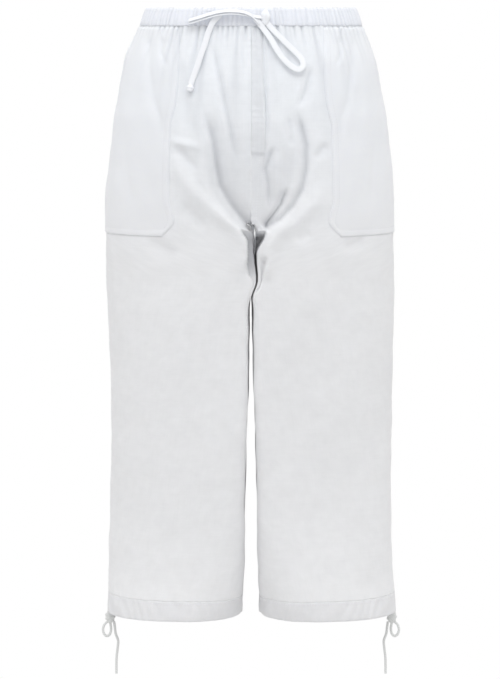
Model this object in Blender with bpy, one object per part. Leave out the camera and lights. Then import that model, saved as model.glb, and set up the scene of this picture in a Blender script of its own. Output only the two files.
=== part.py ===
# Cropped pull-on trousers in plain cloth, standing in the shape they have when worn.
# Metres, +Z up. The origin is the centre of the waist opening, in the plane of its top edge.
# The front faces -Y, and the wearer's left side is at +X.
import math

import bmesh
import bpy
import numpy as np

# Driving dimensions
WAISTBAND = 0.025         # height of the elasticated waistband
LEG_END = 0.8343          # from the top edge down to the seam of the hem casing
LENGTH = 0.862            # from the top edge down to the hem
CLOTH = 0.0014            # wall of a body panel
PATCH = 0.0012            # wall of a pocket and of the placket
BAND_WALL = 0.0030        # elastic between two layers of cloth
HEM_WALL = 0.0024         # two layers of cloth
GAP = 0.0003              # clearance between pieces that touch
PLACKET_WIDTH = 0.0200
PLACKET_END = 0.206
POCKET_END = 0.3165
TAPE = 0.0070             # drawstring tape of the waist, as a round cord
TIE = 0.0036              # cord of the hem ties
SIDE_CURVE = 2.25         # exponent of the rounded sections; 2 is an ellipse
ROUND = 2.0               # exponent of the tight front corner between the thighs
THIGHS_ASIDE = 0.0056     # how far the line where the thighs touch lies to the wearer's left

# Outline of one side: how far the cloth stands out to the side, to the front and to the back
OUTLINE_COLUMNS = ("down", "wide", "front", "back")
OUTLINE = (
    (0.000, 0.1480, 0.1120, 0.1080),
    (0.012, 0.1525, 0.1130, 0.1095),
    (0.025, 0.1568, 0.1140, 0.1110),
    (0.045, 0.1640, 0.1185, 0.1165),
    (0.074, 0.1753, 0.1250, 0.1245),
    (0.102, 0.1817, 0.1295, 0.1325),
    (0.130, 0.1868, 0.1320, 0.1400),
    (0.158, 0.1926, 0.1335, 0.1465),
    (0.187, 0.1956, 0.1335, 0.1510),
    (0.215, 0.1986, 0.1325, 0.1530),
    (0.243, 0.2016, 0.1305, 0.1525),
    (0.272, 0.2031, 0.1280, 0.1500),
    (0.323, 0.2041, 0.1225, 0.1420),
    (0.386, 0.2051, 0.1160, 0.1300),
    (0.443, 0.2040, 0.1110, 0.1210),
    (0.486, 0.2029, 0.1080, 0.1160),
    (0.558, 0.2017, 0.1035, 0.1090),
    (0.630, 0.2014, 0.0995, 0.1030),
    (0.703, 0.2018, 0.0965, 0.0985),
    (0.776, 0.2028, 0.0945, 0.0955),
    (0.834, 0.2046, 0.0935, 0.0940),
    (0.862, 0.2070, 0.0935, 0.0935),
)

# Inner edge of one side: centre seams above the crotch, inseam below it. "turn" is how much of
# the way from the front or back plane to the inseam the crotch seam has gone, and "crest" is
# how far from the inner edge the leg stands furthest forward or back.
INNER_COLUMNS = ("down", "edge", "inseam", "front_turn", "front_crest", "back_turn", "back_crest")
INNER = (
    (0.000, 0.00015, 0.028, 0.00, 0.000, 0.00, 0.000),
    (0.200, 0.00015, 0.028, 0.00, 0.000, 0.00, 0.000),
    (0.240, 0.00015, 0.028, 0.00, 0.000, 0.03, 0.012),
    (0.262, 0.00015, 0.028, 0.00, 0.000, 0.08, 0.022),
    (0.285, 0.00015, 0.028, 0.00, 0.004, 0.15, 0.032),
    (0.300, 0.00015, 0.028, 0.00, 0.006, 0.22, 0.038),
    (0.306, 0.00015, 0.028, 0.06, 0.007, 0.26, 0.040),
    (0.314, 0.00015, 0.028, 0.15, 0.007, 0.32, 0.044),
    (0.328, 0.00015, 0.028, 0.33, 0.007, 0.45, 0.050),
    (0.345, 0.00015, 0.028, 0.62, 0.007, 0.66, 0.058),
    (0.360, 0.00015, 0.028, 0.84, 0.007, 0.84, 0.064),
    (0.372, 0.00015, 0.028, 1.00, 0.007, 1.00, 0.068),
    (0.396, 0.00020, 0.027, 1.00, 0.008, 1.00, 0.075),
    (0.404, 0.00070, 0.026, 1.00, 0.009, 1.00, 0.077),
    (0.412, 0.00160, 0.025, 1.00, 0.010, 1.00, 0.080),
    (0.432, 0.00240, 0.023, 1.00, 0.011, 1.00, 0.083),
    (0.486, 0.00370, 0.020, 1.00, 0.013, 1.00, 0.090),
    (0.544, 0.00540, 0.016, 1.00, 0.015, 1.00, 0.094),
    (0.614, 0.00680, 0.012, 1.00, 0.018, 1.00, 0.095),
    (0.712, 0.00850, 0.009, 1.00, 0.030, 1.00, 0.096),
    (0.797, 0.00980, 0.006, 1.00, 0.054, 1.00, 0.097),
    (0.862, 0.01060, 0.004, 1.00, 0.086, 1.00, 0.098),
)

# Inner edge of a front pocket, from the centre
POCKET_COLUMNS = ("down", "across")
POCKET = (
    (0.000, 0.1000),
    (0.072, 0.0998),
    (0.124, 0.1025),
    (0.168, 0.1110),
    (0.264, 0.1125),
    (0.294, 0.1065),
    (0.3165, 0.1240),
)

# Largest folds of the front: (side, depth, half width, (across, down) points), depth < 0 a trough
FOLDS = (
    (-1, -0.0045, 0.0085, ((0.052, 0.055), (0.044, 0.095), (0.037, 0.130), (0.030, 0.165),
                           (0.024, 0.200), (0.017, 0.232))),
    (-1, -0.0060, 0.0090, ((0.065, 0.150), (0.053, 0.188), (0.048, 0.222), (0.044, 0.252),
                           (0.031, 0.273), (0.014, 0.294))),
    (-1, 0.0045, 0.0085, ((0.108, 0.205), (0.079, 0.251), (0.049, 0.279), (0.022, 0.298),
                          (0.006, 0.322))),
    (1, -0.0060, 0.0090, ((0.066, 0.148), (0.073, 0.168), (0.078, 0.188), (0.078, 0.222),
                          (0.072, 0.257), (0.058, 0.279), (0.042, 0.299))),
    (1, -0.0040, 0.0080, ((0.082, 0.091), (0.075, 0.119), (0.065, 0.139))),
    (1, 0.0040, 0.0085, ((0.096, 0.240), (0.072, 0.283), (0.040, 0.306), (0.015, 0.330))),
)

# Heights of the rows of a body panel, closest together round the crotch
ROWS = (0.0253, 0.034, 0.046, 0.060, 0.076, 0.094, 0.114, 0.136, 0.160, 0.184, 0.208, 0.231,
        0.251, 0.269, 0.284, 0.294, 0.304, POCKET_END, 0.324, 0.332, 0.341, 0.351, 0.362,
        0.372, 0.392, 0.425, 0.470, 0.540, 0.630, 0.730, LEG_END - GAP)
WALL_POINTS = 30          # points of a section along the wall between the thighs
CORNER_POINTS = 15        # points of a section round its tight corner
WALL_STEPS = 3            # columns from the centre front or inseam to the tight corner
LEAST_WALL = 0.012        # width those columns take where there is no wall between the thighs
FRONT_STEPS = 8           # columns from the corner to the pocket edge
POCKET_STEPS = 6          # columns from the pocket edge to the side seam
BACK_STEPS = 11           # columns from the side seam to the centre back
CROTCH_ROW = ROWS.index(0.372)

# Routes of the drawstring, from the knot of the bow and back to it, or to a free end
BOW_KNOT = (0.0205, -0.1200, -0.0128)
BOW_KNOT_SIZE = (0.0130, 0.0110, 0.0170)
RIGHT_LOOP = ((0.0085, -0.1212, -0.0180), (0.0010, -0.1218, -0.0105), (-0.0090, -0.1222, -0.0055),
              (-0.0270, -0.1216, -0.0038), (-0.0450, -0.1204, -0.0045), (-0.0620, -0.1176, -0.0080),
              (-0.0760, -0.1130, -0.0115), (-0.0850, -0.1096, -0.0150), (-0.0862, -0.1088, -0.0185),
              (-0.0820, -0.1102, -0.0218), (-0.0700, -0.1140, -0.0208), (-0.0550, -0.1174, -0.0172),
              (-0.0375, -0.1197, -0.0138), (-0.0200, -0.1206, -0.0132), (-0.0060, -0.1204, -0.0152))
LEFT_LOOP = ((0.0125, -0.1214, -0.0232), (0.0174, -0.1218, -0.0291), (0.0273, -0.1240, -0.0427),
             (0.0351, -0.1262, -0.0564), (0.0448, -0.1280, -0.0700), (0.0566, -0.1290, -0.0815),
             (0.0650, -0.1290, -0.0850), (0.0725, -0.1272, -0.0825), (0.0740, -0.1255, -0.0755),
             (0.0700, -0.1240, -0.0670), (0.0580, -0.1228, -0.0545), (0.0465, -0.1222, -0.0435),
             (0.0375, -0.1216, -0.0345), (0.0310, -0.1208, -0.0275))
FREE_END = ((-0.0530, -0.1165, -0.0252), (-0.0591, -0.1168, -0.0352), (-0.0632, -0.1188, -0.0488),
            (-0.0689, -0.1210, -0.0645), (-0.0748, -0.1232, -0.0820), (-0.0795, -0.1244, -0.0950),
            (-0.0812, -0.1248, -0.1005))
END_KNOT = (-0.0838, -0.1252, -0.1097)
END_KNOT_SIZE = (0.0110, 0.0100, 0.0110)

# Routes of one hem tie, at the wearer's left side seam; the other is its mirror image
TIE_KNOT = (0.2030, -0.0010, -0.8705)
TIE_KNOT_SIZE = (0.0150, 0.0090, 0.0150)
TIE_LOOP = ((0.2075, -0.0010, -0.8803), (0.2118, -0.0015, -0.8850), (0.2134, -0.0020, -0.8920),
            (0.2112, -0.0025, -0.8985), (0.2070, -0.0025, -0.9008), (0.2032, -0.0020, -0.8975),
            (0.2018, -0.0015, -0.8915), (0.2022, -0.0010, -0.8860), (0.2033, -0.0008, -0.8806))
TIE_END = ((0.1975, -0.0020, -0.8795), (0.1962, -0.0035, -0.8880), (0.1950, -0.0040, -0.8970),
           (0.1916, -0.0035, -0.9075), (0.1925, -0.0028, -0.9190), (0.1940, -0.0022, -0.9320),
           (0.1944, -0.0020, -0.9450), (0.1944, -0.0020, -0.9557))


def read_table(table, columns, name, at):
    # Value of a named column at the given distance down, on a curve that never overshoots its rows
    data = np.array(table)
    x = data[:, 0]
    y = data[:, columns.index(name)]
    step = np.diff(x)
    slope = np.diff(y) / step
    tangent = np.zeros(len(x))
    tangent[0] = slope[0]
    tangent[-1] = slope[-1]
    for i in range(1, len(x) - 1):
        if slope[i - 1] * slope[i] > 0:
            tangent[i] = 2 * slope[i - 1] * slope[i] / (slope[i - 1] + slope[i])
    at = np.clip(at, x[0], x[-1])
    i = np.clip(np.searchsorted(x, at, side="right") - 1, 0, len(step) - 1)
    t = (at - x[i]) / step[i]
    rise = y[i] * (1 + 2 * t) * (1 - t) ** 2 + y[i + 1] * t * t * (3 - 2 * t)
    bend = tangent[i] * t * (1 - t) ** 2 - tangent[i + 1] * t * t * (1 - t)
    return rise + bend * step[i]


def outline(name, down):
    return read_table(OUTLINE, OUTLINE_COLUMNS, name, down)


def inner_edge(name, down):
    return read_table(INNER, INNER_COLUMNS, name, down)


def quarter(start, end, start_runs_along_y, exponent, count=40):
    # Quarter of a rounded section from start to end, leaving start along Y or along X
    angle = np.linspace(0, math.pi / 2, count)
    late = 1 - np.cos(angle) ** (2 / exponent)
    early = np.sin(angle) ** (2 / exponent)
    along_x, along_y = (late, early) if start_runs_along_y else (early, late)
    x = start[0] + (end[0] - start[0]) * along_x
    y = start[1] + (end[1] - start[1]) * along_y
    return np.stack([x, y], axis=1)


def section(down):
    # Front half and back half of one side's section, from inner edge to side and back again
    wide = outline("wide", down)
    front = -outline("front", down)
    back = outline("back", down)
    edge = inner_edge("edge", down)
    inseam = inner_edge("inseam", down)
    front_seam = (edge, front + inner_edge("front_turn", down) * (inseam - front))
    back_seam = (edge, back + inner_edge("back_turn", down) * (inseam - back))
    radius = inner_edge("front_crest", down)
    front_crest = (edge + radius, front)
    corner = (edge, front + min(radius, front_seam[1] - front))
    back_crest = (edge + inner_edge("back_crest", down), back)
    side = (wide, 0.0)
    wall = np.linspace(front_seam, corner, WALL_POINTS, endpoint=False)
    front_half = np.concatenate([wall, quarter(corner, front_crest, True, ROUND, CORNER_POINTS),
                                 quarter(front_crest, side, False, SIDE_CURVE)[1:]])
    back_half = np.concatenate([quarter(side, back_crest, True, SIDE_CURVE),
                                quarter(back_crest, back_seam, False, SIDE_CURVE)[1:]])
    return front_half, back_half


def run_length(points):
    return np.concatenate([[0], np.cumsum(np.linalg.norm(np.diff(points, axis=0), axis=1))])


def place_along(points, distances):
    length = run_length(points)
    return np.stack([np.interp(distances, length, points[:, k]) for k in range(2)], axis=1)


def side_row(down):
    # One row of one side: centre front or inseam, pocket edge, side seam, centre back or inseam
    front_half, back_half = section(down)
    front_length = run_length(front_half)
    across = read_table(POCKET, POCKET_COLUMNS, "across", down)
    on_way_out = front_half[:, 0] >= front_half[0, 0]
    pocket_at = np.interp(across, front_half[on_way_out, 0], front_length[on_way_out])
    corner_at = max(front_length[WALL_POINTS + CORNER_POINTS // 2], LEAST_WALL)
    share = FRONT_STEPS / (FRONT_STEPS + POCKET_STEPS)
    half_way = corner_at + (front_length[-1] - corner_at) * share
    below_pocket = np.clip((down - POCKET_END) / 0.2, 0, 1)
    pocket_at += (half_way - pocket_at) * below_pocket
    to_corner = np.linspace(0, corner_at, WALL_STEPS, endpoint=False)
    to_pocket = np.concatenate([to_corner, np.linspace(corner_at, pocket_at, FRONT_STEPS + 1)])
    to_side = np.linspace(pocket_at, front_length[-1], POCKET_STEPS + 1)[1:]
    front_row = place_along(front_half, np.concatenate([to_pocket, to_side]))
    back_row = place_along(back_half, np.linspace(0, run_length(back_half)[-1], BACK_STEPS + 1))
    return np.concatenate([front_row, back_row[1:]])


def outward(grid, side):
    # Unit normals of a grid of points, one side's rows running from the front round to the back
    around = np.gradient(grid, axis=1)
    downward = np.gradient(grid, axis=0)
    normal = np.cross(downward, around) * side
    return normal / np.linalg.norm(normal, axis=2, keepdims=True)


def fold_height(side, points):
    # Sum of the folds at each point, each one a rounded line that fades towards both its ends
    height = np.zeros(points.shape[:2])
    flat = np.stack([points[..., 0] * side, -points[..., 2]], axis=-1)
    for fold_side, depth, half_width, line in FOLDS:
        if fold_side != side:
            continue
        line = np.array(line)
        length = run_length(line)
        best = np.full(height.shape, 1e9)
        along = np.zeros(height.shape)
        for i in range(len(line) - 1):
            step = line[i + 1] - line[i]
            t = np.clip(((flat - line[i]) @ step) / (step @ step), 0, 1)
            distance = np.linalg.norm(flat - line[i] - t[..., None] * step, axis=-1)
            nearer = distance < best
            best = np.where(nearer, distance, best)
            along = np.where(nearer, (length[i] + t * (length[i + 1] - length[i])) / length[-1], along)
        fade = np.clip(np.minimum(along, 1 - along) * 5, 0.15, 1)
        height += depth * fade * np.exp(-(best / half_width) ** 2)
    return height * (points[..., 1] < -0.03)


def side_surface(side):
    # Outer surface of one side of the body and its normals
    rows = []
    for down in ROWS:
        flat = side_row(down)
        rows.append(np.column_stack([flat[:, 0] * side, flat[:, 1], np.full(len(flat), -down)]))
    grid = np.array(rows)
    normal = outward(grid, side)
    near_seam = np.clip(np.abs(grid[..., 0]) / 0.02, 0, 1)
    near_band = np.clip((np.array(ROWS) - WAISTBAND) / 0.02, 0, 1)[:, None]
    grid = grid + normal * (fold_height(side, grid) * near_seam * near_band)[..., None]
    # Legs that nearly touch below the crotch lean a little to one side and back together
    depth = -grid[..., 2]
    touch = np.exp(-(grid[..., 0] / 0.03) ** 2) * np.exp(-((depth - 0.374) / 0.021) ** 2)
    grid[..., 0] += 0.0028 * np.sin(grid[..., 1] / 0.022) * touch
    aside = np.interp(depth, (0.292, 0.312, 0.376, 0.406), (0, 1, 1, 0))
    grid[..., 0] += THIGHS_ASIDE * aside * np.exp(-(grid[..., 0] / 0.035) ** 2)
    normal = outward(grid, side)
    for column in (0, -1):
        normal[:, column, 0] = -side * np.abs(normal[:, column, 0])
        normal[:CROTCH_ROW - 10, column, 0] = 0
    normal /= np.linalg.norm(normal, axis=2, keepdims=True)
    return grid, normal


def material(name, colour, roughness):
    made = bpy.data.materials.new(name)
    made.use_nodes = True
    shader = made.node_tree.nodes["Principled BSDF"]
    shader.inputs["Base Color"].default_value = (*colour, 1)
    shader.inputs["Roughness"].default_value = roughness
    shader.inputs["Metallic"].default_value = 0
    return made


def add_object(name, bm, colour, roughness):
    bmesh.ops.recalc_face_normals(bm, faces=bm.faces)
    mesh = bpy.data.meshes.new(name)
    bm.to_mesh(mesh)
    bm.free()
    mesh.materials.append(material(name, colour, roughness))
    made = bpy.data.objects.new(name, mesh)
    bpy.context.collection.objects.link(made)
    return made


def cloth_wall(name, outer, inner, closed, colour, roughness=0.85):
    # Closed wall between an outer and an inner grid of points; a closed one runs round as a ring
    bm = bmesh.new()
    layers = []
    for grid in (outer, inner):
        layers.append([[bm.verts.new(point) for point in row] for row in grid])
    rows = len(outer)
    columns = len(outer[0])
    steps = columns if closed else columns - 1
    for layer in layers:
        for i in range(rows - 1):
            for j in range(steps):
                k = (j + 1) % columns
                bm.faces.new((layer[i][j], layer[i + 1][j], layer[i + 1][k], layer[i][k]))
    out, back = layers
    for i in (0, rows - 1):
        for j in range(steps):
            k = (j + 1) % columns
            bm.faces.new((out[i][j], out[i][k], back[i][k], back[i][j]))
    if not closed:
        for j in (0, columns - 1):
            for i in range(rows - 1):
                bm.faces.new((out[i][j], out[i + 1][j], back[i + 1][j], back[i][j]))
    return add_object(name, bm, colour, roughness)


def draw_in(grid, column, inward):
    # Moves one edge column back along its rows by half the seam gap
    step = grid[:, inward] - grid[:, column]
    grid[:, column] += step / np.linalg.norm(step, axis=1, keepdims=True) * (GAP / 2)


def body_panels(side, word):
    grid, normal = side_surface(side)
    pocket_edge = WALL_STEPS + FRONT_STEPS
    seam = pocket_edge + POCKET_STEPS
    front = grid[:, :seam + 1].copy()
    back = grid[:, seam:].copy()
    draw_in(front, -1, -2)
    draw_in(back, 0, 1)
    front[CROTCH_ROW:, 0, 1] -= GAP / 2
    back[CROTCH_ROW:, -1, 1] += GAP / 2
    cloth_wall("front_" + word, front, front - normal[:, :seam + 1] * CLOTH, False, (0.86, 0.87, 0.90))
    cloth_wall("back_" + word, back, back - normal[:, seam:] * CLOTH, False, (0.84, 0.85, 0.88))
    pocket_rows = ROWS.index(POCKET_END) + 1
    patch = front[:pocket_rows, pocket_edge:]
    rise = normal[:pocket_rows, pocket_edge:seam + 1]
    cloth_wall("pocket_" + word, patch + rise * (GAP + PATCH), patch + rise * GAP, False,
               (0.88, 0.89, 0.92))
    return front, normal


def placket(front, normal):
    # Mock fly, a strip on the left front from the band down, at the same rows as the panel
    rows = [i for i, down in enumerate(ROWS) if down <= PLACKET_END] + [ROWS.index(0.208)]
    strip = []
    lift = []
    last = WALL_STEPS
    for i in rows:
        start = front[i, 0]
        ends = [start + (front[i, 1] - start) * 0.1]
        ends.extend(front[i, 1:last + 1])
        onward = front[i, last + 1] - front[i, last]
        reach = PLACKET_WIDTH - np.linalg.norm(front[i, last] - start)
        ends.append(front[i, last] + onward * (reach / np.linalg.norm(onward)))
        strip.append(ends)
        lift.append([*normal[i, :last + 1], normal[i, last]])
    strip = np.array(strip)
    lift = np.array(lift)
    cloth_wall("fly_placket", strip + lift * (GAP + PATCH), strip + lift * GAP, False,
               (0.87, 0.88, 0.91))


def ring(down, count, inset=0.0):
    # Whole section of the body at the waistband, as a ring of points moved inward by the inset
    angle = np.linspace(0, 2 * math.pi, count, endpoint=False)
    wide = outline("wide", down) - inset
    front = outline("front", down) - inset
    back = outline("back", down) - inset
    power = 2 / SIDE_CURVE
    x = wide * np.sign(np.sin(angle)) * np.abs(np.sin(angle)) ** power
    depth = np.where(np.cos(angle) > 0, front, back)
    y = -depth * np.sign(np.cos(angle)) * np.abs(np.cos(angle)) ** power
    return np.column_stack([x, y, np.full(count, -down)])


def waistband():
    profile = ((0.0000, 0.0010), (0.0030, 0.0), (0.0125, -0.0006), (0.0220, 0.0),
               (WAISTBAND, 0.0004))
    outer = [ring(down, 56, inset) for down, inset in profile]
    inner = [ring(down, 56, BAND_WALL - 0.0004) for down, inset in profile]
    cloth_wall("waistband", outer, inner, True, (0.87, 0.88, 0.91))


def leg_ring(down, side, inset=0.0):
    # Ring of one leg with its edge at the given distance down, moved inward by the inset
    front_half, back_half = section(down)
    loop = np.concatenate([front_half, back_half[1:-1]])
    closed = np.concatenate([loop, loop[:1]])
    length = run_length(closed)
    corner_at = run_length(front_half)[WALL_POINTS + CORNER_POINTS // 2]
    steps = np.linspace(corner_at, corner_at + length[-1], 28, endpoint=False)
    points = place_along(closed, steps % length[-1])
    centre = (points.max(axis=0) + points.min(axis=0)) / 2
    reach = (points.max(axis=0) - points.min(axis=0)) / 2
    points = centre + (points - centre) * (reach - inset) / reach
    return np.column_stack([points[:, 0] * side, points[:, 1], np.full(len(points), -down)])


def hem(side, word):
    heights = (LEG_END, (LEG_END + LENGTH) / 2, LENGTH)
    outer = [leg_ring(down, side) for down in heights]
    inner = [leg_ring(down, side, HEM_WALL) for down in heights]
    cloth_wall("hem_" + word, outer, inner, True, (0.86, 0.87, 0.90))


def smooth_route(points, spacing):
    # Points at an even spacing on a smooth curve through the route's own points
    route = np.array(points)
    padded = np.concatenate([[2 * route[0] - route[1]], route, [2 * route[-1] - route[-2]]])
    fine = []
    for i in range(1, len(padded) - 2):
        a, b, c, d = padded[i - 1:i + 3]
        for t in np.linspace(0, 1, 12, endpoint=False):
            fine.append(0.5 * (2 * b + (c - a) * t + (2 * a - 5 * b + 4 * c - d) * t * t
                               + (3 * b - a - 3 * c + d) * t ** 3))
    fine.append(route[-1])
    fine = np.array(fine)
    length = run_length(fine)
    count = max(4, round(length[-1] / spacing) + 1)
    at = np.linspace(0, length[-1], count)
    return np.stack([np.interp(at, length, fine[:, k]) for k in range(3)], axis=1)


def cord(name, route, diameter, colour):
    points = smooth_route(route, diameter * 2.2)
    data = bpy.data.curves.new(name, "CURVE")
    data.dimensions = "3D"
    data.bevel_depth = diameter / 2
    data.bevel_resolution = 2
    data.use_fill_caps = True
    spline = data.splines.new("POLY")
    spline.points.add(len(points) - 1)
    for place, point in zip(spline.points, points):
        place.co = (*point, 1)
    data.materials.append(material(name, colour, 0.8))
    made = bpy.data.objects.new(name, data)
    bpy.context.collection.objects.link(made)
    return made


def knot(name, centre, size, colour):
    bm = bmesh.new()
    bmesh.ops.create_uvsphere(bm, u_segments=12, v_segments=8, radius=0.5)
    bmesh.ops.scale(bm, vec=size, verts=bm.verts)
    bmesh.ops.translate(bm, vec=centre, verts=bm.verts)
    return add_object(name, bm, colour, 0.8)


def mirrored(route, side):
    return [(x * side, y, z) for x, y, z in route]


def drawstring():
    colour = (0.90, 0.91, 0.93)
    knot("bow_knot", BOW_KNOT, BOW_KNOT_SIZE, colour)
    cord("bow_loop_right", RIGHT_LOOP, TAPE, colour)
    cord("bow_loop_left", LEFT_LOOP, TAPE, colour)
    cord("bow_end", FREE_END, TAPE, colour)
    knot("bow_end_knot", END_KNOT, END_KNOT_SIZE, colour)


def hem_tie(side, word):
    colour = (0.80, 0.81, 0.82)
    knot("tie_knot_" + word, mirrored([TIE_KNOT], side)[0], TIE_KNOT_SIZE, colour)
    cord("tie_loop_" + word, mirrored(TIE_LOOP, side), TIE, colour)
    cord("tie_end_" + word, mirrored(TIE_END, side), TIE, colour)


def build():
    for old in list(bpy.data.objects):
        bpy.data.objects.remove(old, do_unlink=True)
    front, normal = body_panels(1, "left")
    body_panels(-1, "right")
    placket(front, normal)
    waistband()
    for side, word in ((1, "left"), (-1, "right")):
        hem(side, word)
        hem_tie(side, word)
    drawstring()


build()
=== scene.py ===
# Cropped drawstring trousers in white plain-weave cotton, hollow and standing as they are worn.
# Metres, Z up, the front faces -Y. "down" is measured from the top of the waistband.
import math

import bmesh
import bpy
import numpy as np
from mathutils import Matrix, Vector


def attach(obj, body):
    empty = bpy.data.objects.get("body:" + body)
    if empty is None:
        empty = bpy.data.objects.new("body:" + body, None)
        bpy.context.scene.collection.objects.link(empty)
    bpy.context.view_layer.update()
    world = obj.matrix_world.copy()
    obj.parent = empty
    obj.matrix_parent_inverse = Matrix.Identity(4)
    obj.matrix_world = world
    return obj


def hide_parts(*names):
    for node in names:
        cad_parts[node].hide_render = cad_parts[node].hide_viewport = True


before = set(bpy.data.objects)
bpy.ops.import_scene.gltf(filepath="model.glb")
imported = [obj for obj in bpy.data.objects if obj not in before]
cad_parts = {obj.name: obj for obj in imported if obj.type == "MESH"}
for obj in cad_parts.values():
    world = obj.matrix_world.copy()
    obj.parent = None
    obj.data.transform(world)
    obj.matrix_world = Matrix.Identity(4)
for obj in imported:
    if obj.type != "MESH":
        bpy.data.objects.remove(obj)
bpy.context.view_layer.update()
print("frame loaded")

body = {
    "bandHeight": 0.025,       # waistband
    "legEnd": 0.8343,          # seam of the hem casing
    "length": 0.862,           # hem
    "cloth": 0.0009,           # thickness of one layer
    "curve": 2.25,             # exponent of the rounded sections
    "innerCurve": 2.0,         # exponent of the tight corner between the thighs
    # down, how far out to the side, to the front, to the back
    "outline": (
        (0.000, 0.1480, 0.1120, 0.1080), (0.012, 0.1525, 0.1130, 0.1095),
        (0.025, 0.1568, 0.1140, 0.1110), (0.045, 0.1640, 0.1185, 0.1165),
        (0.074, 0.1753, 0.1250, 0.1245), (0.102, 0.1817, 0.1295, 0.1325),
        (0.130, 0.1868, 0.1320, 0.1400), (0.158, 0.1926, 0.1335, 0.1465),
        (0.187, 0.1956, 0.1335, 0.1510), (0.215, 0.1986, 0.1325, 0.1530),
        (0.243, 0.2016, 0.1305, 0.1525), (0.272, 0.2031, 0.1280, 0.1500),
        (0.323, 0.2041, 0.1225, 0.1420), (0.386, 0.2051, 0.1160, 0.1300),
        (0.443, 0.2040, 0.1110, 0.1210), (0.486, 0.2029, 0.1080, 0.1160),
        (0.558, 0.2017, 0.1035, 0.1090), (0.630, 0.2014, 0.0995, 0.1030),
        (0.703, 0.2018, 0.0965, 0.0985), (0.776, 0.2028, 0.0945, 0.0955),
        (0.834, 0.2046, 0.0935, 0.0940), (0.862, 0.2070, 0.0935, 0.0935),
    ),
    # down, edge, inseam, front turn, front crest, back turn, back crest
    "inner": (
        (0.000, 0.00015, 0.028, 0.000, 0.000, 0.00, 0.000),
        (0.200, 0.00015, 0.028, 0.000, 0.000, 0.00, 0.000),
        (0.240, 0.00015, 0.028, 0.000, 0.000, 0.03, 0.012),
        (0.262, 0.00015, 0.028, 0.000, 0.000, 0.08, 0.022),
        (0.285, 0.00015, 0.028, 0.000, 0.001, 0.15, 0.032),
        (0.300, 0.00015, 0.028, 0.000, 0.001, 0.22, 0.038),
        (0.306, 0.00015, 0.028, 0.060, 0.0012, 0.26, 0.040),
        (0.314, 0.00015, 0.028, 0.150, 0.003, 0.32, 0.044),
        (0.328, 0.00015, 0.028, 0.330, 0.006, 0.45, 0.050),
        (0.345, 0.00015, 0.028, 0.620, 0.007, 0.66, 0.058),
        (0.360, 0.00015, 0.028, 0.840, 0.007, 0.84, 0.064),
        (0.372, 0.00015, 0.028, 1.000, 0.007, 1.00, 0.068),
        (0.396, 0.00020, 0.027, 1.000, 0.008, 1.00, 0.075),
        (0.404, 0.00070, 0.026, 1.000, 0.009, 1.00, 0.077),
        (0.412, 0.00160, 0.025, 1.000, 0.010, 1.00, 0.080),
        (0.432, 0.00290, 0.023, 1.000, 0.011, 1.00, 0.083),
        (0.486, 0.00410, 0.020, 1.000, 0.013, 1.00, 0.090),
        (0.544, 0.00550, 0.016, 1.000, 0.015, 1.00, 0.094),
        (0.614, 0.00680, 0.012, 1.000, 0.018, 1.00, 0.095),
        (0.712, 0.00850, 0.009, 1.000, 0.030, 1.00, 0.096),
        (0.797, 0.00920, 0.006, 1.000, 0.054, 1.00, 0.097),
        (0.862, 0.00970, 0.004, 1.000, 0.086, 1.00, 0.098),
    ),
}
camera = {"place": (-0.0014, -4.3, 0.0), "pitch": 6.25, "focal": 3030.0, "rows": 679}


def readTable(rows, column, at):
    # a curve through the rows that never overshoots them
    data = np.array(rows, float)
    x, y = data[:, 0], data[:, column]
    step = np.diff(x)
    slope = np.diff(y) / step
    tangent = np.zeros(len(x))
    tangent[0], tangent[-1] = slope[0], slope[-1]
    for i in range(1, len(x) - 1):
        if slope[i - 1] * slope[i] > 0:
            tangent[i] = 2 * slope[i - 1] * slope[i] / (slope[i - 1] + slope[i])
    at = np.clip(at, x[0], x[-1])
    i = np.clip(np.searchsorted(x, at, side="right") - 1, 0, len(step) - 1)
    t = (at - x[i]) / step[i]
    rise = y[i] * (1 + 2 * t) * (1 - t) ** 2 + y[i + 1] * t * t * (3 - 2 * t)
    return rise + (tangent[i] * t * (1 - t) ** 2 - tangent[i + 1] * t * t * (1 - t)) * step[i]


def runLength(points):
    return np.concatenate([[0], np.cumsum(np.linalg.norm(np.diff(points, axis=0), axis=1))])


def smooth(value, low, high):
    t = np.clip((value - low) / (high - low), 0, 1)
    return t * t * (3 - 2 * t)


# camera and cords first

def addCamera():
    data = bpy.data.cameras.new("camera")
    data.lens = data.sensor_width * camera["focal"] / camera["rows"]
    made = bpy.data.objects.new("camera", data)
    made.location = camera["place"]
    made.rotation_euler = (math.radians(90 - camera["pitch"]), 0, 0)
    bpy.context.collection.objects.link(made)
    bpy.context.scene.camera = made


def smoothRoute(points, spacing):
    # even steps, in metres, along a smooth curve through the route's points in millimetres
    route = np.array(points, float) / 1000
    padded = np.concatenate([[2 * route[0] - route[1]], route, [2 * route[-1] - route[-2]]])
    fine = []
    for i in range(1, len(padded) - 2):
        a, b, c, d = padded[i - 1:i + 3]
        for t in np.linspace(0, 1, 12, endpoint=False):
            fine.append(0.5 * (2 * b + (c - a) * t + (2 * a - 5 * b + 4 * c - d) * t * t
                               + (3 * b - a - 3 * c + d) * t ** 3))
    fine = np.array(fine + [route[-1]])
    length = runLength(fine)
    at = np.linspace(0, length[-1], max(4, round(length[-1] / spacing) + 1))
    return np.stack([np.interp(at, length, fine[:, k]) for k in range(3)], axis=1)


def addPiece(name, bm, finish, slot, *nodes):
    mesh = bpy.data.meshes.new(name)
    bm.to_mesh(mesh)
    bm.free()
    mesh.shade_smooth()
    mesh.materials.append(finish)
    made = bpy.data.objects.new(name, mesh)
    bpy.context.collection.objects.link(made)
    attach(made, "root")
    if nodes:
        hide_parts(*nodes)
    return made


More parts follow.
